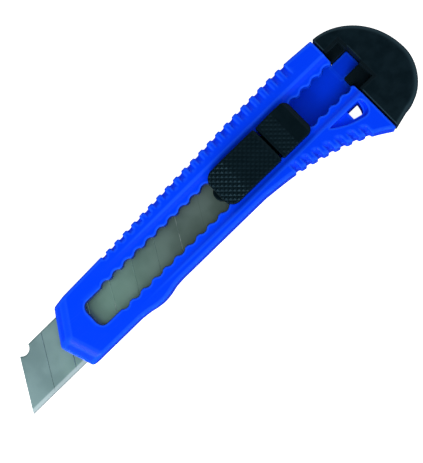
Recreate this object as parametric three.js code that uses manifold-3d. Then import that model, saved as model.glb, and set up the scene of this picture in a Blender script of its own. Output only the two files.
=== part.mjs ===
// A snap-off knife with an 18 mm blade: a moulded handle with a slotted channel, an end cap, and a
// slider that carries the blade and locks in the notches of the slot.
// Millimetres. X runs from the blade's tip towards the end cap, Y from the cutting edge towards the
// back of the handle, Z up from the face that the handle rests on.
import * as THREE from 'three';
import { mergeVertices } from 'three/addons/utils/BufferGeometryUtils.js';
import Module from 'manifold-3d';

const wasm = await Module();
wasm.setup();

// Driving dimensions: the blade
const BLADE_LENGTH = 100;
const BLADE_WIDTH = 18;
const BLADE_THICKNESS = 0.5;
const SEGMENT_PITCH = 10;
const SCORE_COUNT = 7;
const SCORE_DEPTH = 0.15;
const POINT_ANGLE = THREE.MathUtils.degToRad(60);
const GRIND_WIDTH = 1.5;
const HALF_MOON = { x: 11.95, y: 18.4, radius: 2.55 };
const TAIL_CORNER = 2;

// Driving dimensions: heights of the layers, from the resting face up
const GAP = 0.3;
const FLOOR_TOP = 3;
const PLATE_THICKNESS = 2.6;
const RAIL_THICKNESS = 2.5;
const FLANK_RISE = 1;
const BLADE_BOTTOM = FLOOR_TOP + GAP;
const BLADE_TOP = BLADE_BOTTOM + BLADE_THICKNESS;
const PLATE_BOTTOM = BLADE_TOP + GAP;
const PLATE_TOP = PLATE_BOTTOM + PLATE_THICKNESS;
const RAIL_BOTTOM = PLATE_TOP + 0.4;
const RAIL_TOP = RAIL_BOTTOM + RAIL_THICKNESS;
const BODY_TOP = RAIL_TOP + FLANK_RISE;
const EDGE_BEVEL = 0.8;

// Driving dimensions: the channel, the slot above it and the notches in the slot's edges
const MIDLINE = BLADE_WIDTH / 2;
const CHANNEL = { front: 35.6, width: BLADE_WIDTH + 0.7 };
const SLOT = { front: 36.2, width: 9.8, corner: 2.4 };
const NOTCH = { first: 46.9, pitch: 5, count: 21, radius: 2.2, depth: 0.8 };
const TRACK_WIDTH = 15.4;
const BLADE_SLIT_HEIGHT = 1.1;

// Driving dimensions: the outline of the handle and the cap
const SEAM = { handle: 149.8, cap: 150.4 };
const NOSE_POINT = new THREE.Vector2(21.6, 9.1);
const NOSE_BACK = new THREE.Vector2(29.1, 20.45);
const NOSE_FRONT = new THREE.Vector2(25.45, -2.2);
const NOSE_EDGE = { top: 6.4, bottom: 2, backRun: 3.5, frontRun: 3.9, underRun: 1.6 };
const FLANK_START = 46;
const FLANK_END = 90;
const OUTLINE_SEGMENTS = 8;

// Driving dimensions: finger grips
const GROOVE_WIDTH = 1.95;
const GROOVE_DEPTH = 0.8;
const BACK_GRIP = { first: 53, pitch: 4, count: 22, runFirst: 1.1, runLast: 4 };
const FRONT_GRIP = { first: 117.7, pitch: 4.05, count: 7, run: 3.4 };

// Driving dimensions: the slider, at its resting notch
const PAD_WIDTH = 13.6;
const BUTTON = { front: 93.4, rear: 115.7, lift: 1.2, top: 14.4, corner: 3.6 };
const HEEL = { front: 116.8, rear: 129.6, top: 14, ramp: 123.5 };
const NECK = { x: 95.05, radius: 3, stud: 2, hole: 2.35 };
const PLATE = { front: 96, wideRear: 113, rear: 123.4, width: 17 };
const CORE_WIDTH = 8.6;
const EAR_NOTCH = NOTCH.first + 12 * NOTCH.pitch;

// Driving dimensions: the end cap
const CAP_ARC = {
  back: new THREE.Vector2(150.9, 23.8), end: new THREE.Vector2(170, 0.9), front: new THREE.Vector2(156.7, -14.1),
};
const CAP_NOTCH = { rear: 156.1, low: 1.7, high: 17.5, floor: 8.9 };
const TONGUE = { rear: 156.9, low: 8, high: 14.3, bottom: 1.3 };
const PRONG = { front: 140.5, inner: 5.2, outer: 8.8 };

const HANDLE_BLUE = new THREE.MeshStandardMaterial({ color: '#003dff', roughness: 0.5, metalness: 0 });
const BLACK_PLASTIC = new THREE.MeshStandardMaterial({ color: '#12181c', roughness: 0.55, metalness: 0 });
const BLADE_STEEL = new THREE.MeshStandardMaterial({ color: '#8a9593', roughness: 0.35, metalness: 1 });
const SPRING_STEEL = new THREE.MeshStandardMaterial({ color: '#9aa0a3', roughness: 0.3, metalness: 1 });

// A closed geometry as a solid that can be joined and cut.
function solid(geometry) {
  const bare = geometry.clone();
  bare.deleteAttribute('normal');
  bare.deleteAttribute('uv');
  const merged = mergeVertices(bare, 1e-5);
  return new wasm.Manifold(new wasm.Mesh({
    numProp: 3,
    vertProperties: Float32Array.from(merged.attributes.position.array),
    triVerts: Uint32Array.from(merged.index.array),
  }));
}

function meshOf(name, body, material) {
  const { vertProperties, triVerts } = body.getMesh();
  const geometry = new THREE.BufferGeometry();
  geometry.setAttribute('position', new THREE.BufferAttribute(vertProperties, 3));
  geometry.setIndex(new THREE.BufferAttribute(triVerts, 1));
  geometry.computeVertexNormals();
  const mesh = new THREE.Mesh(geometry, material);
  mesh.name = name;
  return mesh;
}

function box(x0, x1, y0, y1, z0, z1) {
  const geometry = new THREE.BoxGeometry(x1 - x0, y1 - y0, z1 - z0);
  geometry.translate((x0 + x1) / 2, (y0 + y1) / 2, (z0 + z1) / 2);
  return solid(geometry);
}

// A box that is centred on the slot's midline.
function midBox(x0, x1, width, z0, z1) {
  return box(x0, x1, MIDLINE - width / 2, MIDLINE + width / 2, z0, z1);
}

// A plan outline raised from z0 to z1, with its top and bottom edges bevelled.
function slab(shape, z0, z1, bevel = 0, curveSegments = 4) {
  const geometry = new THREE.ExtrudeGeometry(shape, {
    depth: z1 - z0 - 2 * bevel,
    curveSegments,
    bevelEnabled: bevel > 0,
    bevelThickness: bevel,
    bevelSize: bevel,
    bevelOffset: -bevel,
    bevelSegments: 1,
  });
  geometry.translate(0, 0, z0 + bevel);
  return solid(geometry);
}

// A section drawn as [y, z] points, swept along X from x0 to x1.
function sweepAlongX(points, x0, x1) {
  const shape = new THREE.Shape(points.map(([y, z]) => new THREE.Vector2(y, z)));
  const geometry = new THREE.ExtrudeGeometry(shape, { depth: x1 - x0, bevelEnabled: false });
  geometry.rotateX(Math.PI / 2);
  geometry.rotateZ(Math.PI / 2);
  geometry.translate(x0, 0, 0);
  return solid(geometry);
}

// A section drawn as [x, z] points, swept along Y from y0 to y1.
function sweepAlongY(points, y0, y1) {
  const shape = new THREE.Shape(points.map(([x, z]) => new THREE.Vector2(x, z)));
  const geometry = new THREE.ExtrudeGeometry(shape, { depth: y1 - y0, bevelEnabled: false });
  geometry.rotateX(Math.PI / 2);
  geometry.translate(0, y1, 0);
  return solid(geometry);
}

function polygon(points) {
  return new THREE.Shape(points.map(([x, y]) => new THREE.Vector2(x, y)));
}

function curveThrough(points) {
  return new THREE.SplineCurve(points.map(([x, y]) => new THREE.Vector2(x, y)));
}

// The height in Y of a curve that runs along X, found by halving.
function curveAt(curve, x) {
  let low = 0;
  let high = 1;
  const rising = curve.getPoint(1).x > curve.getPoint(0).x;
  for (let step = 0; step < 30; step += 1) {
    const middle = (low + high) / 2;
    if ((curve.getPoint(middle).x < x) === rising) low = middle;
    else high = middle;
  }
  return curve.getPoint(low).y;
}

// The gripped stretches of the outline's two long edges, each from the nose end to the end cap.
const backEdge = curveThrough([
  [52, 21.15], [95, 23.15], [119, 24.3], [134, 24.7], [145, 24.2], [CAP_ARC.back.x, CAP_ARC.back.y],
]);
const frontEdge = curveThrough([
  [104, -2.2], [116.6, -3.6], [128.5, -6.4], [138, -9.6], [144, -12.4], [149.2, -15.6],
]);

function bodyOutline() {
  const shape = new THREE.Shape();
  shape.moveTo(22, 8.05);
  shape.lineTo(25.2, -1.55);
  shape.quadraticCurveTo(NOSE_FRONT.x, NOSE_FRONT.y, 26.1, -2.2);
  shape.lineTo(47.5, -2.2);
  shape.splineThru([[51, -2.6], [54, -3.2], [57, -3.45], [60, -3.1], [63, -2.45], [66, -2.2]]
    .map(([x, y]) => new THREE.Vector2(x, y)));
  shape.lineTo(104, -2.2);
  shape.splineThru(frontEdge.points.slice(1));
  shape.quadraticCurveTo(150.2, -15.9, 151.2, -15.5);
  const { back, end, front } = CAP_ARC;
  shape.lineTo(front.x, front.y);
  shape.bezierCurveTo(163.35, front.y, end.x, -6.5, end.x, end.y);
  shape.bezierCurveTo(end.x, 14, 160.6, 23.1, back.x, back.y);
  shape.splineThru(backEdge.points.slice(0, -1).reverse());
  shape.lineTo(30, 20.5);
  shape.quadraticCurveTo(NOSE_BACK.x, NOSE_BACK.y, 28.7, 19.85);
  shape.lineTo(22.1, 9.9);
  shape.quadraticCurveTo(NOSE_POINT.x, NOSE_POINT.y, 22, 8.05);
  return shape;
}

function slotOutline() {
  const half = SLOT.width / 2;
  const inset = NOTCH.radius - NOTCH.depth;
  const lip = Math.asin(inset / NOTCH.radius);
  const low = MIDLINE - half;
  const high = MIDLINE + half;
  const xs = Array.from({ length: NOTCH.count }, (_, i) => NOTCH.first + i * NOTCH.pitch);
  const shape = new THREE.Shape();
  shape.moveTo(SLOT.front + SLOT.corner, low);
  shape.lineTo(SLOT.front + 2 * SLOT.corner, low);
  xs.forEach((x) => shape.absarc(x, low + inset, NOTCH.radius, Math.PI + lip, 2 * Math.PI - lip));
  shape.lineTo(SEAM.cap + 2, low);
  shape.lineTo(SEAM.cap + 2, high);
  xs.reverse().forEach((x) => shape.absarc(x, high - inset, NOTCH.radius, lip, Math.PI - lip));
  shape.lineTo(SLOT.front + SLOT.corner, high);
  shape.absarc(SLOT.front + SLOT.corner, high - SLOT.corner, SLOT.corner, Math.PI / 2, Math.PI);
  shape.absarc(SLOT.front + SLOT.corner, low + SLOT.corner, SLOT.corner, Math.PI, 1.5 * Math.PI);
  return shape;
}

// A wedge that takes a sloping facet off the nose, along the edge from a to b.
function noseFacet(a, b, run, edgeZ, faceZ) {
  const along = b.clone().sub(a);
  const slope = (faceZ - edgeZ) / run;
  const reach = 2;
  const far = faceZ + slope * reach;
  const section = [[-reach, edgeZ - slope * reach], [run + reach, far], [-reach, far]];
  const wedge = new THREE.ExtrudeGeometry(polygon(section), { depth: 60, bevelEnabled: false });
  wedge.translate(0, 0, -30);
  wedge.rotateX(Math.PI / 2);
  wedge.rotateZ(along.angle() + Math.PI / 2);
  wedge.translate((a.x + b.x) / 2, (a.y + b.y) / 2, 0);
  return solid(wedge);
}

// One finger groove: a full-height cut in the side that runs out over the top face.
function grooveCutter(edge, x, side, run) {
  const wall = curveAt(edge, x) - side * GROOVE_DEPTH;
  const outside = wall + side * 4;
  const points = [
    [wall, -1], [wall, BODY_TOP - 1.4], [wall - side * run, BODY_TOP],
    [wall - side * run, BODY_TOP + 1], [outside, BODY_TOP + 1], [outside, -1],
  ];
  if (side < 0) points.reverse();
  return sweepAlongX(points, x - GROOVE_WIDTH / 2, x + GROOVE_WIDTH / 2);
}

function gripCutters() {
  const cutters = [];
  for (let i = 0; i < BACK_GRIP.count; i += 1) {
    const run = THREE.MathUtils.lerp(BACK_GRIP.runFirst, BACK_GRIP.runLast, i / (BACK_GRIP.count - 1));
    cutters.push(grooveCutter(backEdge, BACK_GRIP.first + i * BACK_GRIP.pitch, 1, run));
  }
  for (let i = 0; i < FRONT_GRIP.count; i += 1) {
    cutters.push(grooveCutter(frontEdge, FRONT_GRIP.first + i * FRONT_GRIP.pitch, -1, FRONT_GRIP.run));
  }
  return cutters;
}

// The leaf-shaped recess in the rear corner and the lanyard hole through it.
function lanyardCutters() {
  const leaf = new THREE.Shape();
  leaf.moveTo(134, -0.9);
  leaf.lineTo(146.8, -0.9);
  leaf.quadraticCurveTo(148.2, -1, 148.1, -3);
  leaf.quadraticCurveTo(147.9, -6.2, 145.4, -6.1);
  leaf.quadraticCurveTo(139.2, -5, 134, -0.9);
  const hole = new THREE.Shape();
  hole.moveTo(142.1, -0.95);
  hole.lineTo(142.1, -4.2);
  hole.lineTo(145, -4.9);
  hole.quadraticCurveTo(146.5, -4.8, 147, -0.95);
  hole.closePath();
  return [slab(leaf, BODY_TOP - 1.8, BODY_TOP + 1), slab(hole, -1, BODY_TOP + 1)];
}

// The outline's block: level with the rails at the nose, with flanks that rise towards the cap.
function bodyBlock() {
  const outline = bodyOutline();
  const ramp = sweepAlongY([[FLANK_START, RAIL_TOP], [FLANK_END, BODY_TOP], [175, BODY_TOP],
    [175, BODY_TOP + 5], [10, BODY_TOP + 5], [10, RAIL_TOP]], -30, 40);
  const flanks = slab(outline, 0, BODY_TOP, EDGE_BEVEL, OUTLINE_SEGMENTS).subtract(ramp);
  return slab(outline, 0, RAIL_TOP, EDGE_BEVEL, OUTLINE_SEGMENTS).add(flanks);
}

function handleBody(block) {
  const rear = SEAM.cap + 2;
  const face = [NOSE_BACK, NOSE_POINT, NOSE_FRONT];
  const { top, bottom, backRun, frontRun, underRun } = NOSE_EDGE;
  const cuts = [
    box(SEAM.handle, 200, -50, 50, -5, 30),
    midBox(0, rear, TRACK_WIDTH, RAIL_TOP, BODY_TOP + 1),
    slab(slotOutline(), RAIL_BOTTOM - 0.5, BODY_TOP + 1),
    midBox(CHANNEL.front, rear, CHANNEL.width, FLOOR_TOP, RAIL_BOTTOM),
    midBox(10, CHANNEL.front + 1, CHANNEL.width, FLOOR_TOP, FLOOR_TOP + BLADE_SLIT_HEIGHT),
    noseFacet(face[0], face[1], backRun, top, RAIL_TOP),
    noseFacet(face[1], face[2], frontRun, top, RAIL_TOP),
    noseFacet(face[0], face[1], underRun, bottom, 0),
    noseFacet(face[1], face[2], underRun, bottom, 0),
    ...gripCutters(),
    ...lanyardCutters(),
  ];
  const tongue = box(SEAM.handle - 1, TONGUE.rear, TONGUE.low, TONGUE.high, TONGUE.bottom, FLOOR_TOP);
  return cuts.reduce((body, cut) => body.subtract(cut), block).add(tongue);
}

function endCap(block) {
  const shell = block
    .subtract(box(-10, SEAM.cap, -50, 50, -5, 30))
    .subtract(box(140, CAP_NOTCH.rear, CAP_NOTCH.low, CAP_NOTCH.high, CAP_NOTCH.floor, BODY_TOP + 1));
  const plug = midBox(SEAM.handle - 0.4, SEAM.cap + 1, SLOT.width - 2 * GAP, BLADE_BOTTOM, CAP_NOTCH.floor);
  const { front, inner, outer } = PRONG;
  const prongs = [-1, 1].map((side) => {
    const ys = [MIDLINE + side * inner, MIDLINE + side * outer].sort((a, b) => a - b);
    return box(front, SEAM.cap + 1, ys[0], ys[1], BLADE_BOTTOM, PLATE_TOP);
  });
  const window = box(140, TONGUE.rear + GAP, TONGUE.low - GAP, TONGUE.high + GAP,
    TONGUE.bottom - GAP, BODY_TOP + 1);
  return shell.add(plug).add(prongs[0]).add(prongs[1]).subtract(window);
}

// The plan of the whole blade, with its pointed end and the half-moon in its back.
function bladeOutline() {
  const shape = new THREE.Shape();
  const { x, y, radius } = HALF_MOON;
  const lean = 1 / Math.tan(POINT_ANGLE);
  shape.moveTo(0, 0);
  shape.lineTo(BLADE_LENGTH - TAIL_CORNER, 0);
  shape.lineTo(BLADE_LENGTH, TAIL_CORNER);
  shape.lineTo(BLADE_LENGTH, BLADE_WIDTH - TAIL_CORNER);
  shape.lineTo(BLADE_LENGTH - TAIL_CORNER, BLADE_WIDTH);
  const rise = Math.asin((BLADE_WIDTH - y) / radius);
  shape.absarc(x, y, radius, rise, Math.PI + Math.asin(1.5 / radius), true);
  shape.lineTo(lean * 16.9, 16.9);
  shape.closePath();
  return shape;
}

function scoreCutter(x, z) {
  const length = BLADE_WIDTH / Math.sin(POINT_ANGLE) + 4;
  const side = SCORE_DEPTH * Math.SQRT2;
  const groove = new THREE.BoxGeometry(length, side, side);
  groove.rotateX(Math.PI / 4);
  groove.rotateZ(POINT_ANGLE);
  groove.translate(x + BLADE_WIDTH / 2 / Math.tan(POINT_ANGLE), MIDLINE, z);
  return solid(groove);
}

function snapOffBlade() {
  const middle = (BLADE_BOTTOM + BLADE_TOP) / 2;
  const land = 0.04;
  const section = [
    [0, middle - land], [GRIND_WIDTH, BLADE_BOTTOM], [BLADE_WIDTH, BLADE_BOTTOM],
    [BLADE_WIDTH, BLADE_TOP], [GRIND_WIDTH, BLADE_TOP], [0, middle + land],
  ];
  const hole = new THREE.CylinderGeometry(NECK.hole, NECK.hole, 4, 24);
  hole.rotateX(Math.PI / 2);
  hole.translate(NECK.x, MIDLINE, middle);
  let blade = sweepAlongX(section, -1, BLADE_LENGTH + 1)
    .intersect(slab(bladeOutline(), BLADE_BOTTOM - 1, BLADE_TOP + 1))
    .subtract(solid(hole));
  for (let i = 1; i <= SCORE_COUNT; i += 1) {
    blade = blade.subtract(scoreCutter(i * SEGMENT_PITCH, BLADE_TOP));
  }
  return blade;
}

// The plate that holds the blade by a stud, with a web up through the slot for the heel pad.
function bladeCarrier() {
  const neck = new THREE.CylinderGeometry(NECK.radius, NECK.radius, PLATE_THICKNESS, 24);
  neck.rotateX(Math.PI / 2);
  neck.translate(NECK.x, MIDLINE, (PLATE_BOTTOM + PLATE_TOP) / 2);
  const studHeight = PLATE_BOTTOM + 1 - BLADE_BOTTOM;
  const stud = new THREE.CylinderGeometry(NECK.stud, NECK.stud, studHeight, 24);
  stud.rotateX(Math.PI / 2);
  stud.translate(NECK.x, MIDLINE, BLADE_BOTTOM + studHeight / 2);
  const { front, wideRear, rear, width } = PLATE;
  return solid(neck)
    .add(solid(stud))
    .add(midBox(NECK.x, front + 1, 2 * NECK.radius, PLATE_BOTTOM, PLATE_TOP))
    .add(midBox(front, wideRear, width, PLATE_BOTTOM, PLATE_TOP))
    .add(midBox(wideRear - 1, rear, CORE_WIDTH, PLATE_BOTTOM, PLATE_TOP))
    .add(midBox(HEEL.front + 0.4, rear, CORE_WIDTH, PLATE_TOP - 1, RAIL_TOP));
}

// A pad's plan: round corners of radius front at its front end and rear at its rear end.
function padOutline(x0, x1, frontRadius, rearRadius) {
  const low = MIDLINE - PAD_WIDTH / 2;
  const high = MIDLINE + PAD_WIDTH / 2;
  const shape = new THREE.Shape();
  shape.moveTo(x0 + frontRadius, low);
  shape.lineTo(x1 - rearRadius, low);
  shape.absarc(x1 - rearRadius, low + rearRadius, rearRadius, 1.5 * Math.PI, 2 * Math.PI);
  shape.absarc(x1 - rearRadius, high - rearRadius, rearRadius, 0, Math.PI / 2);
  shape.lineTo(x0 + frontRadius, high);
  shape.absarc(x0 + frontRadius, high - frontRadius, frontRadius, Math.PI / 2, Math.PI);
  shape.absarc(x0 + frontRadius, low + frontRadius, frontRadius, Math.PI, 1.5 * Math.PI);
  return shape;
}

function sliderHeel() {
  const bottom = RAIL_TOP + GAP;
  const { front, rear, top, ramp } = HEEL;
  const profile = [[front, bottom], [rear, bottom], [rear, bottom + 2.2], [rear - 1.6, top - 0.5],
    [ramp, top], [front, top - 1.2]];
  return slab(padOutline(front, rear, 0.6, 2.6), bottom, top, 0)
    .intersect(sweepAlongY(profile, -5, 25));
}

function thumbButton() {
  const bottom = RAIL_TOP + BUTTON.lift;
  const { front, rear, top, corner } = BUTTON;
  const profile = [[front, bottom], [rear, bottom], [rear, top - 0.4], [rear - 1.2, top],
    [front + 8, top], [front + 3, top - 1.1], [front, top - 2.4]];
  const legBottom = PLATE_TOP + BUTTON.lift;
  return slab(padOutline(front, rear, corner, 0.8), bottom, top, 0)
    .intersect(sweepAlongY(profile, -5, 25))
    .add(midBox(front + 2, front + 6, CORE_WIDTH, legBottom, bottom + 1))
    .add(midBox(rear - 2, rear - 0.4, CORE_WIDTH, legBottom, bottom + 1))
    .add(midBox(EAR_NOTCH - 1, EAR_NOTCH + 1, CORE_WIDTH - 2, RAIL_TOP - 0.6, bottom + 1));
}

// A bowed steel leaf whose two ears sit in a pair of the slot's notches.
function lockSpring() {
  const half = 6.5;
  const thickness = 0.5;
  const foot = PLATE_TOP + GAP;
  const bow = 1.2;
  const steps = 12;
  const arch = Array.from({ length: steps + 1 }, (_, i) => {
    const u = (2 * i) / steps - 1;
    return [EAR_NOTCH + half * u, foot + bow * Math.cos((u * Math.PI) / 2) ** 2];
  });
  const section = [...arch, ...arch.map(([x, z]) => [x, z + thickness]).reverse()];
  const crown = foot + bow;
  return sweepAlongY(section, MIDLINE - CORE_WIDTH / 2, MIDLINE + CORE_WIDTH / 2)
    .add(midBox(EAR_NOTCH - 0.6, EAR_NOTCH + 0.6, 10.5, crown, crown + thickness));
}

const block = bodyBlock();
const knife = new THREE.Group();
knife.add(
  meshOf('handle_body', handleBody(block), HANDLE_BLUE),
  meshOf('end_cap', endCap(block), BLACK_PLASTIC),
  meshOf('snap_off_blade', snapOffBlade(), BLADE_STEEL),
  meshOf('blade_carrier', bladeCarrier(), BLACK_PLASTIC),
  meshOf('slider_heel', sliderHeel(), BLACK_PLASTIC),
  meshOf('thumb_button', thumbButton(), BLACK_PLASTIC),
  meshOf('lock_spring', lockSpring(), SPRING_STEEL),
);

// The origin is the middle of the knife's box, on the face it rests on.
const bounds = new THREE.Box3().setFromObject(knife);
const centre = bounds.getCenter(new THREE.Vector3());
knife.position.set(-centre.x, -centre.y, -bounds.min.z);

export default knife;
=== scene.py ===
"""A snap-off knife with an 18 mm blade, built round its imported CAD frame.

Shapes are distance fields on a grid, in millimetres: x runs from the blade's tip towards the end cap,
y from the cutting edge towards the back of the handle, and z up from the face that the handle rests on.
"""
import math

import bmesh
import bpy
import numpy as np
from mathutils import Matrix, Vector


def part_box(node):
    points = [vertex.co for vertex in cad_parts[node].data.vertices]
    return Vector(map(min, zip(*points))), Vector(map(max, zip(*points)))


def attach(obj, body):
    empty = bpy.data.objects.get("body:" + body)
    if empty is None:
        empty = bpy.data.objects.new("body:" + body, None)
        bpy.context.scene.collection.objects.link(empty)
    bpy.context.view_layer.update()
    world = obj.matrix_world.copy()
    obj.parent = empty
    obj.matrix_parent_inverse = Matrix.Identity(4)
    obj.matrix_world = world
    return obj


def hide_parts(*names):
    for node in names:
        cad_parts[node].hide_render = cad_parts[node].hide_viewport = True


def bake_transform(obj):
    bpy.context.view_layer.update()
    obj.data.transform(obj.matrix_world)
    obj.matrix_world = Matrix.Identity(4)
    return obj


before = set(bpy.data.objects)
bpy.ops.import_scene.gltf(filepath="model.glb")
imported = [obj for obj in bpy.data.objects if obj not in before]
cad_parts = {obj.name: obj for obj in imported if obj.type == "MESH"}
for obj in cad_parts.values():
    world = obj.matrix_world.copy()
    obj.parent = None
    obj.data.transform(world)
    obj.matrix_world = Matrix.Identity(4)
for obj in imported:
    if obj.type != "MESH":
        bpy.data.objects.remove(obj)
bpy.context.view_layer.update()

MM = 0.001


def node_box(name):
    """A CAD node's lowest and highest corners, in millimetres in the row frame."""
    low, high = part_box(name)
    return np.array(low) / MM, np.array(high) / MM


# Places and heights that the frame gives
BLADE_LOW, BLADE_HIGH = node_box("snap_off_blade")
ORIGIN = np.array([-BLADE_LOW[0], -BLADE_LOW[1], 0])
BLADE_BOTTOM, BLADE_TOP = BLADE_LOW[2], BLADE_HIGH[2]
BLADE_LENGTH, BLADE_WIDTH = (BLADE_HIGH - BLADE_LOW)[:2]
BODY_TOP = node_box("end_cap")[1][2]
PAD_LOW, PAD_HIGH = [corner + ORIGIN for corner in node_box("thumb_button")]
HEEL_LOW, HEEL_HIGH = [corner + ORIGIN for corner in node_box("slider_heel")]
MIDLINE = BLADE_WIDTH / 2

# Both pads reach a little further back than their CAD nodes
PAD_HIGH[0] += 0.4
HEEL_HIGH[0] += 0.6

# Heights of the layers inside the handle
GAP = 0.3
FLANK_RISE = 1
RAIL_TOP = BODY_TOP - FLANK_RISE
RAIL_BOTTOM = 7.1
FLOOR_TOP = BLADE_BOTTOM - GAP
PLATE_BOTTOM = BLADE_TOP + GAP
PLATE_TOP = RAIL_BOTTOM - 0.4

# The handle in plan
SEAM_HANDLE, SEAM_CAP = 149.8, 150.4
FRONT_EDGE = -2.2
NOSE_BACK, NOSE_POINT, NOSE_FRONT = (29.1, 20.45), (21.6, 9.1), (25.45, FRONT_EDGE)
NOSE_HIGH, NOSE_LOW = 6.4, 2
FLANK_START, FLANK_END = 46, 90
TRACK_INNER, TRACK_OUTER = 6.8, 9
CHANNEL_FRONT, CHANNEL_HALF = 36.2, 9.35
SLOT_FRONT, SLOT_HALF, SLOT_CORNER, SLOT_DRAFT = 36.2, 4.9, 2.4, 0.17
NOTCH_FIRST, NOTCH_PITCH, NOTCH_COUNT = 46.9, 5, 21
NOTCH_RADIUS, NOTCH_DEPTH = 2.2, 0.8
GROOVE_WIDTH, GROOVE_DROP = 1.9, 1.4
LEAF_DEPTH = 1.8
TOP_ROUND, BOTTOM_ROUND = 0.9, 0.7

# The end cap: its outline, the notch for the heel pad, its prongs and the window round the tongue
CAP_BACK, CAP_END, CAP_FRONT = (150.9, 23.8), (170, 0.9), (156.7, -14.1)
CAP_NOTCH_LOW, CAP_NOTCH_HIGH, CAP_NOTCH_REAR, CAP_NOTCH_FLOOR = 1.7, 17.5, 156.1, 7.4
PRONG_INNER, PRONG_OUTER = 6.1, 8.8
TONGUE_LOW, TONGUE_HIGH, TONGUE_REAR = 8, 14.3, 156.9

# The blade and the slider
LEAN = 1 / math.tan(math.radians(60))
LEAN_SINE = math.sin(math.radians(60))
SEGMENT_PITCH, SCORE_COUNT, SCORE_DEPTH = 10, 7, 0.11
BEVEL_WIDTH, EDGE_WIDTH = 1.5, 0.45
STUD_X, STUD_HOLE, STUD_RADIUS, NECK_RADIUS = 95.05, 2.35, 2, 3
CORE_HALF = 4.3
EAR_X = NOTCH_FIRST + 12 * NOTCH_PITCH
KNURL_PITCH = 1.42

# Grid steps, the reach of the fine steps beside a score line, and the tiles that flat areas merge into
FINE = 1
BODY_STEP, CAP_STEP, PAD_STEP, CARRIER_STEP, SPRING_STEP = [FINE * s for s in (0.3, 0.28, 0.13, 0.2, 0.14)]
SCORE_REACH = 0.3
TILE = 2.4


# ---------------------------------------------------------------- distance fields

def rounded_max(a, b, radius):
    """Where both fields are inside, with the outside edge between them rounded."""
    corner = np.hypot(np.maximum(a + radius, 0), np.maximum(b + radius, 0))
    return np.minimum(np.maximum(a, b), -radius) + corner


def cut(body, tool, radius):
    """The body less the tool, with the edges of the cut rounded."""
    return rounded_max(body, -tool, radius)


def join(a, b, radius):
    """Both bodies as one, with a fillet of that radius in the corner between them."""
    return -rounded_max(-a, -b, radius)


def between(value, low, high):
    """A field that is inside from low to high."""
    return np.maximum(low - value, value - high)


def block(x, y, z, low, high, radius=0.2):
    """A rectangular block with rounded edges."""
    sides = [np.abs(v - (a + b) / 2) - (b - a) / 2 for v, a, b in zip((x, y, z), low, high)]
    return rounded_max(rounded_max(sides[0], sides[1], radius), sides[2], radius)


def smooth_step(value, start, end):
    share = np.clip((value - start) / (end - start), 0, 1)
    return share * share * (3 - 2 * share)


def bezier(*points, steps):
    """Points along a quadratic or cubic curve, without its first point."""
    t = np.linspace(0, 1, steps + 1)[1:, None]
    points = [np.array(p, float) for p in points]
    while len(points) > 1:
        points = [a + (b - a) * t for a, b in zip(points, points[1:])]
    return [tuple(p) for p in points[0]]


def spline(points):
    """Points along a Catmull-Rom curve through the given ones, without its first point."""
    padded = [np.array(p, float) for p in [points[0], *points, points[-1]]]
    t = np.linspace(0, 1, 9)[1:, None]
    found = []
    for p0, p1, p2, p3 in zip(padded, padded[1:], padded[2:], padded[3:]):
        v1, v2 = (p2 - p0) / 2, (p3 - p1) / 2
        curve = (2 * p1 - 2 * p2 + v1 + v2) * t**3 + (3 * p2 - 3 * p1 - 2 * v1 - v2) * t**2 + v1 * t + p1
        found += [tuple(p) for p in curve]
    return found


def polygon_distance(x, y, points):
    """Signed distance in plan from a closed outline, negative inside it."""
    x, y = x[..., 0], y[..., 0]
    nearest = np.full(np.broadcast(x, y).shape, 1e9)
    inside = np.zeros(nearest.shape, bool)
    for (ax, ay), (bx, by) in zip(points, points[1:] + points[:1]):
        ex, ey = bx - ax, by - ay
        if ex == ey == 0:
            continue
        along = np.clip(((x - ax) * ex + (y - ay) * ey) / (ex * ex + ey * ey), 0, 1)
        nearest = np.minimum(nearest, (x - ax - along * ex) ** 2 + (y - ay - along * ey) ** 2)
        if ey:
            inside ^= ((ay > y) != (by > y)) & (x < ex * (y - ay) / ey + ax)
    return (np.where(inside, -1, 1) * np.sqrt(nearest))[..., None]


# ---------------------------------------------------------------- the handle and the end cap

def body_outline():
    """The plan of the handle and the end cap together."""
    finger_bump = [(47.5, FRONT_EDGE), (51, -2.6), (54, -3.2), (57, -3.45), (60, -3.1), (63, -2.45),
                   (66, FRONT_EDGE)]
    flare = [(104, FRONT_EDGE), (116.6, -3.6), (128.5, -6.4), (138, -9.6), (144, -12.4), (149.2, -15.6)]
    back = [CAP_BACK, (145, 24.2), (134, 24.7), (119, 24.3), (95, 23.15), (52, 21.15)]
    return [
        (22, 8.05), (25.2, -1.55), *bezier((25.2, -1.55), NOSE_FRONT, (26.1, FRONT_EDGE), steps=6),
        finger_bump[0], *spline(finger_bump), flare[0], *spline(flare),
        *bezier(flare[-1], (150.2, -15.9), (151.2, -15.5), steps=6), CAP_FRONT,
        *bezier(CAP_FRONT, (163.35, CAP_FRONT[1]), (CAP_END[0], -6.5), CAP_END, steps=40),
        *bezier(CAP_END, (CAP_END[0], 14), (160.6, 23.1), CAP_BACK, steps=40),
        *spline(back), (30, 20.5), *bezier((30, 20.5), NOSE_BACK, (28.7, 19.85), steps=6),
        (22.1, 9.9), *bezier((22.1, 9.9), NOSE_POINT, (22, 8.05), steps=6),
    ]


def leaf_outline():
    """The recess in the handle's rear corner."""
    return [
        (134, -0.9), (146.8, -0.9), *bezier((146.8, -0.9), (148.2, -1), (148.1, -3), steps=6),
        *bezier((148.1, -3), (147.9, -6.2), (145.4, -6.1), steps=8),
        *bezier((145.4, -6.1), (139.2, -5), (134, -0.9), steps=10),
    ]


def lanyard_outline():
    return [
        (142.1, -0.95), (142.1, -4.2), (145, -4.9),
        *bezier((145, -4.9), (146.5, -4.8), (147, -0.95), steps=8),
    ]


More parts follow.
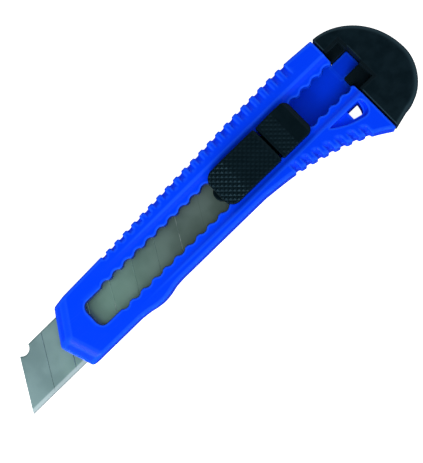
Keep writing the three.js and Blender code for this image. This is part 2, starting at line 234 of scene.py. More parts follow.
def nose_facet(x, y, z, a, b, run, edge_z, face_z):
    """A sloping plane over the edge from a to b, at edge_z on the edge and at face_z a run inside it."""
    inward = np.array([a[1] - b[1], b[0] - a[0]]) / math.dist(a, b)
    depth = (x - a[0]) * inward[0] + (y - a[1]) * inward[1]
    slope = (face_z - edge_z) / run
    return (z - edge_z - slope * depth) * np.sign(slope) / math.hypot(1, slope)


def bevelled_nose(body, x, y, z):
    """The body with two facets over the nose and two narrower ones under it."""
    for runs, edge_z, face_z, ridge, blend in (((3.5, 3.9), NOSE_HIGH, RAIL_TOP, 0.6, 1.1),
                                               ((1.6, 1.6), NOSE_LOW, 0, 0.3, 0.4)):
        back = nose_facet(x, y, z, NOSE_BACK, NOSE_POINT, runs[0], edge_z, face_z)
        front = nose_facet(x, y, z, NOSE_POINT, NOSE_FRONT, runs[1], edge_z, face_z)
        body = rounded_max(body, rounded_max(back, front, ridge), blend)
    return body


def slot_field(x, y, z):
    """The slot over the blade, a little narrower below, with the lock's notches along both edges."""
    across = np.abs(y - MIDLINE)
    phase = x - NOTCH_FIRST
    nearest = np.clip(np.round(phase / NOTCH_PITCH), 0, NOTCH_COUNT - 1)
    chord = np.sqrt(np.maximum(NOTCH_RADIUS**2 - (phase - nearest * NOTCH_PITCH) ** 2, 0))
    scallop = rounded_max(chord - NOTCH_RADIUS + NOTCH_DEPTH, 0 * chord, 0.3)
    plan = rounded_max((across - SLOT_HALF - scallop) * 0.85, SLOT_FRONT - x, SLOT_CORNER)
    return plan + SLOT_DRAFT * np.clip(RAIL_TOP - z, 0, RAIL_TOP - RAIL_BOTTOM)


def groove_tool(x, z, plan, top, first, pitch, count, deep, run_first, run_last):
    """Finger grooves: upright cuts in the side that run out over the top face."""
    index = np.clip(np.round((x - first) / pitch), 0, count - 1)
    run = run_first + (run_last - run_first) * index / (count - 1)
    across = np.abs(x - first - index * pitch) - GROOVE_WIDTH / 2
    slope = GROOVE_DROP / run
    roof = (z - top + GROOVE_DROP + slope * (plan + deep)) / np.hypot(1, slope)
    return rounded_max(across, -rounded_max(plan + deep, roof, 0.4), 0.3)


def flank_rise(x):
    """How far the flanks stand above the rails."""
    return FLANK_RISE * np.clip((x - FLANK_START) / (FLANK_END - FLANK_START), 0, 1)


def channel_field(x, y, z):
    """The blade's channel, with a low slit on through the nose."""
    inside = np.abs(y - MIDLINE) - CHANNEL_HALF
    tall = rounded_max(inside, CHANNEL_FRONT - x, 0.3)
    tall = rounded_max(tall, between(z, FLOOR_TOP, RAIL_BOTTOM), 0.2)
    slit = rounded_max(inside, between(z, FLOOR_TOP, FLOOR_TOP + 1.1) + 0 * x, 0.2)
    slit = np.maximum(slit, x - CHANNEL_FRONT - 1)
    return np.minimum(tall, slit)


def handle_field(x, y, z):
    plan = polygon_distance(x, y, body_outline())
    rise = flank_rise(x)
    track = smooth_step(np.abs(y - MIDLINE), TRACK_INNER, TRACK_OUTER)
    body = rounded_max(plan, z - RAIL_TOP - rise * track, TOP_ROUND)
    body = rounded_max(body, -z, BOTTOM_ROUND)
    body = bevelled_nose(body, x, y, z)

    flank_top = RAIL_TOP + rise
    back = groove_tool(x, z, plan, flank_top, 53, 4, 22, 0.5, 1.1, 4)
    front = groove_tool(x, z, plan, flank_top, 117.7, 4.05, 7, 0.8, 2.4, 2.4)
    body = cut(body, np.where(y > MIDLINE, back, front), 0.3)

    leaf = polygon_distance(x, y, leaf_outline())
    body = cut(body, rounded_max(leaf, BODY_TOP - LEAF_DEPTH - z, 0.25), 0.3)
    body = cut(body, polygon_distance(x, y, lanyard_outline()) + 0 * z, 0.25)

    slot = slot_field(x, y, z)
    above = RAIL_BOTTOM - 0.5 - z
    body = cut(body, np.maximum(slot, above), 0.18)
    rails = rounded_max(-slot, x - SEAM_HANDLE, 1.2)
    body = rounded_max(body, np.minimum(rails, -above), 0.3)
    body = rounded_max(body, x - SEAM_HANDLE, 0.3)
    body = cut(body, channel_field(x, y, z), 0.2)

    tongue = block(x, y, z, (SEAM_HANDLE - 1.5, TONGUE_LOW, 1.3), (TONGUE_REAR, TONGUE_HIGH, FLOOR_TOP), 0.3)
    return join(body, tongue, 0.2)


def cap_field(x, y, z):
    plan = polygon_distance(x, y, body_outline())
    rim = 1.4 + 0.9 * smooth_step(x, 152, 166)
    body = rounded_max(plan * TOP_ROUND / rim, z - BODY_TOP, TOP_ROUND)
    body = rounded_max(body, -z, BOTTOM_ROUND)
    body = rounded_max(body, SEAM_CAP - x, 0.3)
    over = BODY_TOP + 3
    notch = block(x, y, z, (140, CAP_NOTCH_LOW, CAP_NOTCH_FLOOR), (CAP_NOTCH_REAR, CAP_NOTCH_HIGH, over))
    body = cut(body, notch, 0.12)

    rear = SEAM_CAP + 2
    plug_low = (SEAM_HANDLE - 0.4, MIDLINE - 4.6, BLADE_BOTTOM)
    plug_high = (rear, MIDLINE + 4.6, CAP_NOTCH_FLOOR)
    body = join(body, block(x, y, z, plug_low, plug_high), 0.1)
    for side in (-1, 1):
        low, high = sorted((MIDLINE + side * PRONG_INNER, MIDLINE + side * PRONG_OUTER))
        prong = block(x, y, z, (140.5, low, BLADE_BOTTOM), (rear, high, PLATE_TOP))
        body = join(body, prong, 0.2)
    window = block(x, y, z, (130, TONGUE_LOW - 0.15, 1), (TONGUE_REAR + 0.1, TONGUE_HIGH + 0.15, over))
    return cut(body, window, 0.12)


# ---------------------------------------------------------------- the slider and the blade

def knurl(x, y):
    """Rows of small pyramids at 45 degrees to the knife, from 0 in the valleys to 1 at the peaks."""
    height = 1
    for u in ((x + y) / math.sqrt(2), (x - y) / math.sqrt(2)):
        height = np.minimum(height, 1 - 2 * np.abs(u / KNURL_PITCH - np.round(u / KNURL_PITCH)))
    return height


def pad_plan(x, y, low, high, front_corner, rear_corner):
    across = np.abs(y - (low[1] + high[1]) / 2) - (high[1] - low[1]) / 2
    return rounded_max(rounded_max(across, low[0] - x, front_corner), x - high[0], rear_corner)


def button_field(x, y, z):
    """The knurled pad, with a leg at each end and one on the lock spring."""
    bottom = RAIL_TOP + 1.2
    front, rear, top = PAD_LOW[0], PAD_HIGH[0], PAD_HIGH[2]
    places = [front, front + 3, front + 8, rear - 1.2, rear]
    profile = np.interp(x, places, np.array([-2.2, -1.1, 0, 0, -0.4]) + top)
    depth = 0.36 - 0.16 * smooth_step(x, front + 6, front + 11)
    roof = (z - profile + depth * (1 - knurl(x, y))) * 0.8
    pad = rounded_max(pad_plan(x, y, PAD_LOW, PAD_HIGH, 3.6, 0.8), roof, 0.35)
    pad = rounded_max(pad, bottom - z, 0.3)
    for x0, x1, half, z0 in ((front + 2, front + 6, CORE_HALF, PLATE_TOP + 1.2),
                             (rear - 2, rear - 0.4, CORE_HALF, PLATE_TOP + 1.2),
                             (EAR_X - 1, EAR_X + 1, CORE_HALF - 1, RAIL_TOP - 0.6)):
        leg = block(x, y, z, (x0, MIDLINE - half, z0), (x1, MIDLINE + half, bottom + 1), 0.25)
        pad = join(pad, leg, 0.3)
    return pad


def heel_field(x, y, z):
    """The rear pad: a knurled ramp, a small step and a plain back that falls away."""
    front, rear, top = HEEL_LOW[0], HEEL_HIGH[0], HEEL_HIGH[2]
    step = front + 6.7
    ramp = top - 1.2 + 1.2 * np.clip((x - front) / (step - front), 0, 1)
    rough = ramp - 0.14 * (1 - knurl(x, y)) * (x > front + 0.8)
    plain = np.interp(x, [step, rear - 1.6, rear], [top - 0.15, top - 0.55, top - 1.9])
    profile = np.where(x < step, rough, plain)
    pad = rounded_max(pad_plan(x, y, HEEL_LOW, HEEL_HIGH, 0.6, 2.6), (z - profile) * 0.85, 0.35)
    return rounded_max(pad, HEEL_LOW[2] - z, 0.25)


def carrier_field(x, y, z):
    """The plate over the blade, with its stud below and the heel pad's web above."""
    off_middle = np.abs(y - MIDLINE)
    disc = np.hypot(x - STUD_X, y - MIDLINE)
    neck = np.minimum(disc - NECK_RADIUS, rounded_max(off_middle - NECK_RADIUS, np.abs(x - 96) - 0.95, 0.1))
    wide = rounded_max(off_middle - 8.5, np.abs(x - 104.5) - 8.5, 1)
    tail = rounded_max(off_middle - CORE_HALF, np.abs(x - 117.7) - 5.7, 0.4)
    plan = np.minimum(join(neck, wide, 0.8), tail)
    plate = rounded_max(plan, between(z, PLATE_BOTTOM, PLATE_TOP), 0.25)
    stud = rounded_max(disc - STUD_RADIUS, between(z, BLADE_BOTTOM, PLATE_TOP), 0.2)
    web_low, web_high = (117.2, MIDLINE - CORE_HALF, PLATE_TOP - 1), (123.4, MIDLINE + CORE_HALF, RAIL_TOP)
    web = block(x, y, z, web_low, web_high, 0.25)
    return np.minimum(np.minimum(plate, stud), web)


def blade_field(x, y, z):
    """The blade with its ground edge, its half-moon and its score lines on the top face."""
    across = x - y * LEAN
    plan = np.maximum(-across * LEAN_SINE, np.maximum(-y, y - BLADE_WIDTH))
    plan = np.maximum(plan, x - BLADE_LENGTH)
    corner = (x - BLADE_LENGTH + np.abs(y - MIDLINE) - MIDLINE + 2) / math.sqrt(2)
    plan = np.maximum(plan, corner)
    plan = np.maximum(plan, 2.55 - np.hypot(x - 11.95, y - 18.4))
    plan = np.maximum(plan, np.minimum(y - 16.9, 11.95 - x))
    plan = np.maximum(plan, STUD_HOLE - np.hypot(x - STUD_X, y - MIDLINE))
    half = (BLADE_TOP - BLADE_BOTTOM) / 2
    level = z - (BLADE_TOP + BLADE_BOTTOM) / 2
    ground = np.interp(y, [0, EDGE_WIDTH, BEVEL_WIDTH, BLADE_WIDTH], [0.03, 0.13, half, half])
    index = np.clip(np.round(across / SEGMENT_PITCH), 1, SCORE_COUNT)
    groove = np.maximum(SCORE_DEPTH - np.abs(across - index * SEGMENT_PITCH) * LEAN_SINE, 0)
    faces = np.maximum(-level - ground, level - np.minimum(ground, half - groove))
    return np.maximum(plan, faces)


def spring_field(x, y, z):
    """A bowed leaf with an ear on each side, which sit in a pair of notches."""
    share = np.clip((x - EAR_X) / 6.5, -1, 1)
    foot = PLATE_TOP + GAP
    middle = foot + 0.25 + 1.2 * np.cos(share * math.pi / 2) ** 2
    leaf = rounded_max(np.abs(x - EAR_X) - 6.5, np.abs(y - MIDLINE) - CORE_HALF, 0.8)
    ears = rounded_max(np.abs(x - EAR_X) - 0.6, np.abs(y - MIDLINE) - 5.25, 0.3)
    return rounded_max(join(leaf, ears, 0.4), np.abs(z - middle) - 0.25, 0.08)


# ---------------------------------------------------------------- from fields to meshes

def levels(*stretches):
    """Grid lines from (start, end, step) stretches that follow one another."""
    parts = [np.arange(a, b - step * 0.4, step) for a, b, step in stretches]
    return np.concatenate([*parts, [stretches[-1][1]]])


def body_levels():
    """Grid lines in height for the handle and the cap: finer where their edges are rounded."""
    return levels((-0.5, 1.2, 0.2 * FINE), (1.2, 8.4, 0.35 * FINE), (8.4, 11.1, 0.16 * FINE))


def pad_axes(low, high):
    return (
        levels((low[0] - 0.5, high[0] + 0.5, PAD_STEP)),
        levels((low[1] - 0.5, high[1] + 0.5, PAD_STEP)),
        levels((low[2] - 0.4, high[2] + 0.4, 0.15 * FINE)),
    )


def blade_axes():
    """Grid lines for the blade: the x lines crowd at the point's edge and at each score line."""
    stretches = [(-10.6, -0.32, 0.32), (-0.32, SCORE_REACH, 0.08)]
    for index in range(1, SCORE_COUNT + 1):
        start, end = SEGMENT_PITCH * index - SCORE_REACH, SEGMENT_PITCH * index + SCORE_REACH
        stretches += [(stretches[-1][1], start, 0.32), (start, end, 0.05)]
    stretches.append((stretches[-1][1], BLADE_LENGTH + 0.4, 0.32))
    return (
        levels(*stretches),
        levels((-0.16, 0.6, 0.08), (0.6, 1.4, 0.2), (1.4, 18.2, 0.28)),
        levels((BLADE_BOTTOM - 0.1, BLADE_TOP + 0.1, 0.04)),
    )


def sample(volume, cells, share):
    """A volume's values inside grid cells, at the given shares of each cell."""
    found = 0
    for corner in np.ndindex(2, 2, 2):
        weight = np.prod(np.where(corner, share, 1 - share), axis=1)
        found = found + weight * volume[tuple((cells + corner).T)]
    return found


def crossings(field, axes, axis):
    """The grid edges along one axis that the surface crosses, the points, and which start outside."""
    inside = field < 0
    count = field.shape[axis] - 1
    low = np.take(inside, range(count), axis)
    where = np.argwhere(low != np.take(inside, range(1, count + 1), axis))
    above = where + np.eye(3, dtype=int)[axis]
    start, end = field[tuple(where.T)], field[tuple(above.T)]
    point = np.stack([axes[k][where[:, k]] for k in range(3)], axis=1)
    step = axes[axis][above[:, axis]] - axes[axis][where[:, axis]]
    point[:, axis] += step * start / (start - end)
    return where, point, start > 0


def cell_rings(where, axis, cells):
    """The numbers of the four cells round each grid edge, in order."""
    ring = []
    u, v = [k for k in range(3) if k != axis]
    for du, dv in ((1, 1), (0, 1), (0, 0), (1, 0)):
        cell = where.copy()
        cell[:, u] -= du
        cell[:, v] -= dv
        ring.append((cell[:, 0] * cells[1] + cell[:, 1]) * cells[2] + cell[:, 2])
    return ring


def surface_net(field, axes):
    """Where a field on a grid is zero: a point in each cell it crosses, the quads and each point's cell."""
    cells = np.array(field.shape) - 1
    touched, points, quads = [], [], []
    for axis in range(3):
        where, point, starts_outside = crossings(field, axes, axis)
        ring = cell_rings(where, axis, cells)
        touched += ring
        points += [point] * 4
        ring = np.stack(ring, axis=1)
        flip = starts_outside ^ (axis == 1)
        ring[flip] = ring[flip][:, ::-1]
        quads.append(ring)
    ids, place = np.unique(np.concatenate(touched), return_inverse=True)
    share = np.bincount(place)
    points = np.concatenate(points)
    points = np.stack([np.bincount(place, points[:, k]) / share for k in range(3)], axis=1)
    quads = np.searchsorted(ids, np.concatenate(quads))
    own = np.stack(np.unravel_index(ids, tuple(cells)), axis=1)
    return points, quads, own


def slopes_at(field, axes, points, own):
    """The surface's normals and how sharply it bends, at points that lie in the given cells."""
    start = np.stack([axes[k][own[:, k]] for k in range(3)], axis=1)
    size = np.stack([axes[k][own[:, k] + 1] for k in range(3)], axis=1) - start
    share = np.clip((points - start) / size, 0, 1)
    slopes = np.gradient(field, *axes)
    length = np.sqrt(sum(s * s for s in slopes)) + 1e-9
    bend = sum(np.gradient(s / length, axes[k], axis=k) for k, s in enumerate(slopes))
    normals = np.stack([sample(s, own, share) for s in slopes], axis=1)
    normals /= np.linalg.norm(normals, axis=1, keepdims=True) + 1e-12
    return normals, sample(bend, own, share)


def flat_tiles(mesh, normals):
    """Each face's tile number, or -1 where the surface isn't flat."""
    corners = np.zeros(len(mesh.loops), np.int32)
    mesh.loops.foreach_get("vertex_index", corners)
    corners = corners.reshape(-1, 4)
    facing = normals[corners]
    flat = (np.einsum("ijk,ik->ij", facing, facing[:, 0]) > 0.99999).all(axis=1)
    points = np.zeros(len(mesh.vertices) * 3, np.float32)
    mesh.vertices.foreach_get("co", points)
    middles = points.reshape(-1, 3)[corners].mean(axis=1)
    tile = np.floor(middles / (TILE * MM) + 1000).astype(int) @ [1, 10_000, 100_000_000]
    tile[~flat] = -1
    return tile


def merge_flats(mesh, normals):
    """Merges faces inside flat areas into tiles, and keeps the faces along every edge and curve."""
    tile = flat_tiles(mesh, normals)
    loop_edges = np.zeros(len(mesh.loops), np.int32)
    mesh.loops.foreach_get("edge_index", loop_edges)
    order = np.argsort(loop_edges, kind="stable")
    first = np.searchsorted(loop_edges[order], np.arange(len(mesh.edges)))
    sides = tile[order[np.stack([first, first + 1])] // 4]
    chosen = (sides[0] == sides[1]) & (sides[0] >= 0)
    work = bmesh.new()
    work.from_mesh(mesh)
    edges = [edge for edge, wanted in zip(work.edges, chosen) if wanted]
    bmesh.ops.dissolve_edges(work, edges=edges, use_verts=True)
    work.to_mesh(mesh)
    work.free()


def mesh_piece(name, field, axes, material, shear=0):
    """A piece from its field. With shear, the grid's x lines lean as the blade's point does."""
    x, y, z = axes[0][:, None, None], axes[1][None, :, None], axes[2][None, None, :]
    values = field(x + shear * y, y, z)
    values = np.ascontiguousarray(np.broadcast_to(values, [len(a) for a in axes]), float)
    points, quads, own = surface_net(values, axes)
    normals, bend = slopes_at(values, axes, points, own)
    points[:, 0] += shear * points[:, 1]
    normals[:, 1] -= shear * normals[:, 0]
    normals /= np.linalg.norm(normals, axis=1, keepdims=True)

    mesh = bpy.data.meshes.new(name)
    mesh.from_pydata((points - ORIGIN) * MM, [], quads.tolist())
    bends = mesh.attributes.new("bend", "FLOAT", "POINT")
    bends.data.foreach_set("value", bend.astype(np.float32))
    lie = mesh.attributes.new("lie", "FLOAT_VECTOR", "POINT")
    lie.data.foreach_set("vector", normals.astype(np.float32).ravel())
    merge_flats(mesh, normals)
    kept = np.zeros(len(mesh.vertices) * 3, np.float32)
    mesh.attributes["lie"].data.foreach_get("vector", kept)
    mesh.attributes.remove(mesh.attributes["lie"])
    mesh.shade_smooth()
    mesh.normals_split_custom_set_from_vertices(kept.reshape(-1, 3))
    mesh.materials.append(material)
    piece = bpy.data.objects.new(name, mesh)
    bpy.context.scene.collection.objects.link(piece)
    return piece


# ---------------------------------------------------------------- node helpers

def new_tree(name):
    material = bpy.data.materials.new(name)
    material.use_nodes = True
    tree = material.node_tree
    tree.nodes.clear()
    return material, tree


def add(tree, kind, inputs=None, **settings):
    """Adds a node, sets it and its inputs, and returns it. An input is a value or another node's output."""
    node = tree.nodes.new(kind)
    for name, value in settings.items():
        setattr(node, name, value)
    for name, value in (inputs or {}).items():
        socket = node.inputs[name]
        if isinstance(value, bpy.types.NodeSocket):
            tree.links.new(value, socket)
        else:
            socket.default_value = value
    return node


def noise(tree, size, detail, stretch=(1, 1, 1), turn=0):
    """Noise with features of that size in millimetres, stretched and turned in plan."""
    coords = add(tree, "ShaderNodeTexCoord").outputs["Object"]
    mapping = {"Vector": coords, "Rotation": (0, 0, turn)}
    turned = add(tree, "ShaderNodeMapping", mapping).outputs["Vector"]
    scale = [s / MM for s in stretch]
    place = add(tree, "ShaderNodeVectorMath", {0: turned, 1: scale}, operation="MULTIPLY").outputs["Vector"]
    inputs = {"Vector": place, "Scale": 1 / size, "Detail": detail}
    return add(tree, "ShaderNodeTexNoise", inputs).outputs["Fac"]


def remap(tree, value, low, high, to_low=0.0, to_high=1.0):
    inputs = {"Value": value, "From Min": low, "From Max": high, "To Min": to_low, "To Max": to_high}
    return add(tree, "ShaderNodeMapRange", inputs, interpolation_type="SMOOTHSTEP").outputs["Result"]


def maths(tree, operation, a, b):
    return add(tree, "ShaderNodeMath", {0: a, 1: b}, operation=operation).outputs[0]


def product(tree, first, *others):
    for other in others:
        first = maths(tree, "MULTIPLY", first, other)
    return first


def dot(tree, vector, direction):
    node = add(tree, "ShaderNodeVectorMath", {0: vector, 1: direction}, operation="DOT_PRODUCT")
    return node.outputs["Value"]


def knife_places(tree):
    """x, y and z on the piece in millimetres, as the shapes use them."""
    coords = add(tree, "ShaderNodeTexCoord").outputs["Object"]
    axes = [tuple(row) for row in np.eye(3) / MM]
    return [maths(tree, "ADD", dot(tree, coords, axis), start) for axis, start in zip(axes, ORIGIN)]


def distance_from(tree, value, middle):
    return maths(tree, "ABSOLUTE", maths(tree, "SUBTRACT", value, middle), 0)


def blend_colours(tree, factor, a, b):
    """Colour a where the factor is 0 and b where it is 1."""
    node = add(tree, "ShaderNodeMix", {"Factor": factor}, data_type="RGBA")
    for socket, value in ((node.inputs[6], a), (node.inputs[7], b)):
        if isinstance(value, bpy.types.NodeSocket):
            tree.links.new(value, socket)
        else:
            socket.default_value = (*value, 1)
    return node.outputs[2]


def bump(tree, height, distance_mm, strength, under=None):
    inputs = {"Height": height, "Distance": distance_mm * MM, "Strength": strength}
    if under:
        inputs["Normal"] = under
    return add(tree, "ShaderNodeBump", inputs).outputs["Normal"]


def bend_of(tree):
    """How sharply the surface bends there, per millimetre. It is positive on outside edges."""
    return add(tree, "ShaderNodeAttribute", attribute_name="bend").outputs["Fac"]


def noisy_edge_mask(tree, low, high):
    """Where the surface bends as an outside edge does, broken up by noise."""
    paling = remap(tree, noise(tree, 1.6, 3), 0.35, 0.7)
    return product(tree, remap(tree, bend_of(tree), low, high), paling)


def finish_material(tree, inputs):
    shader = add(tree, "ShaderNodeBsdfPrincipled", inputs)
    add(tree, "ShaderNodeOutputMaterial", {"Surface": shader.outputs["BSDF"]})


# ---------------------------------------------------------------- materials

def slot_painted_shade(tree):
    """Where painted shade darkens the slot's walls: heavily over the blade, and lightly behind the slider.
    """
    along, across, height = knife_places(tree)
    in_slot = remap(tree, distance_from(tree, across, MIDLINE), 6.2, 6.0)
    past_nose = remap(tree, along, SLOT_FRONT - 1.7, SLOT_FRONT - 1.2)
    above_channel = remap(tree, height, RAIL_BOTTOM - 0.9, RAIL_BOTTOM - 0.6)
    below_edge = remap(tree, height, 9.5, 9.1)
    amount = remap(tree, along, 125, 100, 0.25, 0.9)
    return product(tree, in_slot, past_nose, above_channel, below_edge, amount)


def blue_plastic():
    """Moulded plastic with a faint swirl in the colour, paler edges that are partly wear and partly painted
    highlight, fine scratches and painted shade on the slot's walls.
    """
    material, tree = new_tree("handle_blue_plastic")
    swirl = noise(tree, 14, 4, stretch=(0.4, 1, 1))
    colour = blend_colours(tree, swirl, (0.0002, 0.041, 0.86), (0.0002, 0.050, 0.95))
    # Paler edges: partly wear, and partly a painted highlight on the rounded edges and the nose's facet
    # ridges.
    paler_edges = maths(tree, "ADD", product(tree, noisy_edge_mask(tree, 0.4, 1.5), 0.3),
                 remap(tree, bend_of(tree), 0.05, 0.35, 0.0, 0.3))
    colour = blend_colours(tree, paler_edges, colour, (0.014, 0.13, 1.0))
    # Painted shade: the slot's walls darkened where shade falls down the slot.
    colour = blend_colours(tree, slot_painted_shade(tree), colour, (0.0002, 0.003, 0.09))

    scratches = remap(tree, noise(tree, 0.25, 2, stretch=(0.03, 1, 1), turn=0.12), 0.62, 0.7)
    rough = maths(tree, "ADD", remap(tree, noise(tree, 5, 3), 0.3, 0.7, 0.20, 0.27),
                  product(tree, scratches, 0.12))
    normal = bump(tree, noise(tree, 0.6, 3), 0.012, 0.5)
    normal = bump(tree, scratches, 0.01, 0.4, normal)
    finish_material(tree, {"Base Color": colour, "Roughness": rough, "Normal": normal,
                           "Specular IOR Level": 0.06})
    return material


def cap_shading(tree, colour, rough):
    """A painted highlight on the sloping rim, and painted shade with a rough finish in the recess round the
    prongs and the tongue.
    """
    along, across, _ = knife_places(tree)
    middle, half = (CAP_NOTCH_LOW + CAP_NOTCH_HIGH) / 2, (CAP_NOTCH_HIGH - CAP_NOTCH_LOW) / 2
    beside = maths(tree, "SUBTRACT", distance_from(tree, across, middle), half + 1)
    behind = maths(tree, "SUBTRACT", along, CAP_NOTCH_REAR + 0.9)
    outside = maths(tree, "MAXIMUM", beside, behind)
    # Painted shade: the recess round the prongs and the tongue is darkened almost to black.
    colour = blend_colours(tree, remap(tree, outside, 0.3, -0.1), colour, (0.0002, 0.0006, 0.001))
    # Painted highlight: the rim's sloping faces outside the recess are made paler.
    facing_up = dot(tree, add(tree, "ShaderNodeTexCoord").outputs["Normal"], (0, 0, 1))
    paling = product(tree, remap(tree, facing_up, 0.999, 0.95), remap(tree, outside, 0.0, 0.6))
    colour = blend_colours(tree, paling, colour, (0.010, 0.019, 0.024))
    return colour, maths(tree, "MAXIMUM", rough, remap(tree, outside, 0.3, -0.1, 0.0, 0.95))


def pad_shading(tree, colour, rough):
    """Edges paler where a thumb rubs them."""
    paler_edges = product(tree, noisy_edge_mask(tree, 0.8, 4), 0.3)
    return blend_colours(tree, paler_edges, colour, (0.003, 0.0126, 0.0186)), rough


def black_plastic(name, tint, roughness, gloss, shading):
    """Fine matt moulded plastic, with an even grain and its piece's own shading."""
    material, tree = new_tree(name)
    dark = tuple(0.75 * c for c in tint)
    colour = blend_colours(tree, noise(tree, 6, 3), dark, tint)
    rough = remap(tree, noise(tree, 3, 3), 0.3, 0.7, roughness - 0.06, roughness + 0.06)
    colour, rough = shading(tree, colour, rough)
    normal = bump(tree, noise(tree, 0.16, 2), 0.02, 0.55)
    finish_material(tree, {"Base Color": colour, "Roughness": rough, "Normal": normal,
                           "Specular IOR Level": gloss, "Specular Tint": (0.35, 0.75, 1.0, 1)})
    return material


def score_marks(tree, along, colour):
    """Darker colour in the score lines, most of it near the point, and painted highlights along every third
    one.
    """
    # Darker colour in the score lines, most of it near the point.
    off_line = maths(tree, "PINGPONG", along, SEGMENT_PITCH / 2)
    score_darkening = product(tree, remap(tree, off_line, 0.17, 0.05), remap(tree, along, 33, 27, 0.15, 0.6),
                   remap(tree, along, SEGMENT_PITCH - 2, SEGMENT_PITCH - 1))
    colour = blend_colours(tree, score_darkening, colour, (0.05, 0.075, 0.07))
    # Painted highlight: pale lines along every third score line, broken up by noise.
    off_third = maths(tree, "PINGPONG", maths(tree, "SUBTRACT", along, SEGMENT_PITCH), 1.5 * SEGMENT_PITCH)
    score_highlight = product(tree, remap(tree, off_third, 0.13, 0.04), remap(tree, along, 25, 30),
                    remap(tree, noise(tree, 4, 2), 0.42, 0.58, 0.1, 0.6))
    return blend_colours(tree, score_highlight, colour, (0.75, 0.85, 0.8))


def blade_steel():
    """Ground steel with painted shade darkening it towards the handle, a thin oil film, a bright bevel,
    darker score lines and painted highlights along every third one.
    """
    material, tree = new_tree("oiled_blade_steel")
    x, y, _ = knife_places(tree)
    along = maths(tree, "SUBTRACT", x, product(tree, y, LEAN))
    film = remap(tree, noise(tree, 9, 4), 0.3, 0.7)
    colour = blend_colours(tree, remap(tree, along, 5, 38), (0.29, 0.45, 0.46), (0.28, 0.48, 0.40))
    # Painted shade: the blade goes darker from about 36 mm in towards the handle.
    colour = blend_colours(tree, remap(tree, along, 36, 74), colour, (0.17, 0.25, 0.22))
    colour = blend_colours(tree, product(tree, film, 0.1), colour, (0.5, 0.62, 0.6))
    colour = score_marks(tree, along, colour)
    for width, tint in ((BEVEL_WIDTH, (0.45, 0.57, 0.59)), (EDGE_WIDTH, (0.30, 0.36, 0.38))):
        colour = blend_colours(tree, remap(tree, y, width + 0.05, width - 0.05), colour, tint)

    rough = remap(tree, film, 0, 1, 0.36, 0.42)
    normal = bump(tree, noise(tree, 0.12, 2, stretch=(1, 0.02, 1)), 0.004, 0.5)
    normal = bump(tree, noise(tree, 0.2, 3, stretch=(0.02, 1, 1)), 0.004, 0.35, normal)
    finish_material(tree, {"Base Color": colour, "Metallic": 1.0, "Roughness": rough, "Normal": normal})
    return material


def spring_steel():
    """Bright rolled strip."""
    material, tree = new_tree("rolled_spring_steel")
    rolled = noise(tree, 0.3, 3, stretch=(0.05, 1, 1))
    colour = blend_colours(tree, rolled, (0.48, 0.5, 0.51), (0.6, 0.61, 0.62))
    rough = remap(tree, rolled, 0.3, 0.7, 0.22, 0.34)
    normal = bump(tree, rolled, 0.01, 0.4)
    finish_material(tree, {"Base Color": colour, "Metallic": 1.0, "Roughness": rough, "Normal": normal})
    return material


# ---------------------------------------------------------------- the knife

def build_handle():
    axes = (levels((20.9, 157.8, BODY_STEP)), levels((-17, 25.6, BODY_STEP)), body_levels())
    handle = mesh_piece("handle", handle_field, axes, blue_plastic())
    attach(handle, "handle")
    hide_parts("handle_body")


def build_cap():
    black = black_plastic("cap_black_plastic", (0.0012, 0.0042, 0.0065), 0.34, 0.32, cap_shading)
    axes = (levels((139.8, 170.7, CAP_STEP)), levels((-16, 24.6, CAP_STEP)), body_levels())
    cap = mesh_piece("end_cap_shell", cap_field, axes, black)
    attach(cap, "cap")
    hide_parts("end_cap")


def build_slider():
    """The thumb pad, the heel pad and the carrier, all of the same black plastic."""
    black = black_plastic("pad_black_plastic", (0.001, 0.0042, 0.0062), 0.40, 0.15, pad_shading)
    button = mesh_piece("thumb_pad", button_field, pad_axes(PAD_LOW, PAD_HIGH), black)
    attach(button, "button")
    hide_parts("thumb_button")

    heel = mesh_piece("heel_pad", heel_field, pad_axes(HEEL_LOW, HEEL_HIGH), black)
    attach(heel, "slider")
    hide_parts("slider_heel")

    axes = (
        levels((91.6, 124, CARRIER_STEP)),
        levels((0.1, 17.9, CARRIER_STEP)),
        levels((3, 10, 0.14 * FINE)),
    )
    carrier = mesh_piece("carrier", carrier_field, axes, black)
    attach(carrier, "slider")
    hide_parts("blade_carrier")


def build_blade():
    blade = mesh_piece("blade", blade_field, blade_axes(), blade_steel(), shear=LEAN)
    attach(blade, "slider")
    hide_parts("snap_off_blade")


def build_spring():
    """The bowed spring, baked in place in the scene frame and attached to no body."""
    axes = (
        levels((99.9, 113.9, SPRING_STEP)),
        levels((3.2, 14.8, SPRING_STEP)),
        levels((6.8, 9, 0.08)),
    )
    spring = mesh_piece("bowed_spring", spring_field, axes, spring_steel())
    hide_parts("lock_spring")
    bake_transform(spring)


# ---------------------------------------------------------------- studio

def make_camera():
    """Above the knife and a little towards its cutting edge, turned so that the tip is at the lower left."""
    data = bpy.data.cameras.new("camera")
    data.sensor_width = 36
    data.lens = 118.53
    distance = 0.5
    tilt, roll = math.radians(5.5), math.radians(44.2)
    towards = Vector((0, -math.sin(tilt), math.cos(tilt)))
    across, up = Vector((1, 0, 0)), Vector((0, math.cos(tilt), math.sin(tilt)))
    right = math.cos(roll) * across - math.sin(roll) * up
    above = math.sin(roll) * across + math.cos(roll) * up
    target = (Vector((83.55, 2.44, 3.45)) - Vector(ORIGIN)) * MM
    camera = bpy.data.objects.new("camera", data)
    matrix = Matrix((right, above, towards)).transposed().to_4x4()
    matrix.translation = target + towards * distance
    camera.matrix_world = matrix
    bpy.context.scene.collection.objects.link(camera)
    bpy.context.scene.camera = camera


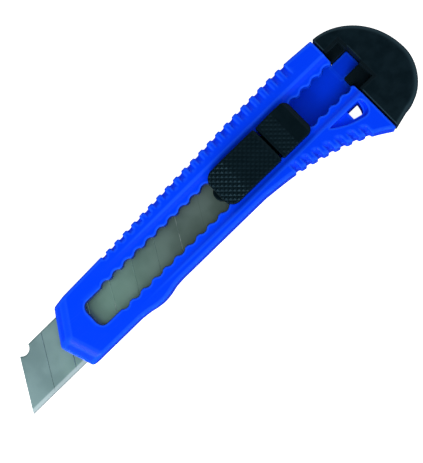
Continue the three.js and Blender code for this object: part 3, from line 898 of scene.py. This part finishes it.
def make_floor():
    """A pale table. It glows a little where it is seen directly, and is dark in reflections."""
    material, tree = new_tree("pale_table")
    path = add(tree, "ShaderNodeLightPath").outputs
    pale = blend_colours(tree, path["Is Glossy Ray"], (0.8, 0.8, 0.8), (0.04, 0.06, 0.1))
    finish_material(tree, {
        "Base Color": pale, "Roughness": 0.9, "Specular IOR Level": 0.1,
        "Emission Color": (1, 1, 1, 1), "Emission Strength": product(tree, path["Is Camera Ray"], 0.95),
    })
    mesh = bpy.data.meshes.new("floor")
    size = 3
    corners = [(-size, -size, 0), (size, -size, 0), (size, size, 0), (-size, size, 0)]
    mesh.from_pydata(corners, [], [(0, 1, 2, 3)])
    mesh.materials.append(material)
    floor = bpy.data.objects.new("floor", mesh)
    floor.location.z = -0.05 * MM
    bpy.context.scene.collection.objects.link(floor)


def make_world():
    """A white tent with a dark opening overhead and a dim side. The camera sees plain white."""
    world = bpy.data.worlds.new("tent")
    world.use_nodes = True
    tree = world.node_tree
    tree.nodes.clear()
    white = (0.95, 0.98, 1.0)
    direction = add(tree, "ShaderNodeTexCoord").outputs["Generated"]
    overhead = tuple(Vector((0.14, 0.25, 0.95)).normalized())
    edges = [math.cos(math.radians(angle)) for angle in (31, 13)]
    opening = remap(tree, dot(tree, direction, overhead), *edges)
    colour = blend_colours(tree, opening, white, (0.08, 0.085, 0.085))
    dim_side = tuple(Vector((-0.62, 0.74, 0.26)).normalized())
    dim = remap(tree, dot(tree, direction, dim_side), 0.5, 0.9)
    colour = blend_colours(tree, dim, colour, (0.2, 0.2, 0.2))
    seen = add(tree, "ShaderNodeLightPath").outputs["Is Camera Ray"]
    colour = blend_colours(tree, seen, colour, white)
    background = add(tree, "ShaderNodeBackground", {"Color": colour, "Strength": 1.0})
    add(tree, "ShaderNodeOutputWorld", {"Surface": background.outputs["Background"]})
    bpy.context.scene.world = world


def make_key_light():
    """A soft square lamp over the tip's side, turned to the knife."""
    data = bpy.data.lights.new("key", "AREA")
    data.shape = "SQUARE"
    data.size = 0.35
    data.energy = 2.8
    lamp = bpy.data.objects.new("key", data)
    towards = Vector((-0.8, -0.35, 0.6)).normalized()
    lamp.location = towards * 0.6
    lamp.rotation_euler = towards.to_track_quat("Z", "Y").to_euler()
    bpy.context.scene.collection.objects.link(lamp)


bpy.context.scene.view_settings.view_transform = "Standard"
make_camera()
make_floor()
make_world()
make_key_light()
build_handle()
build_cap()
build_slider()
build_blade()
build_spring()
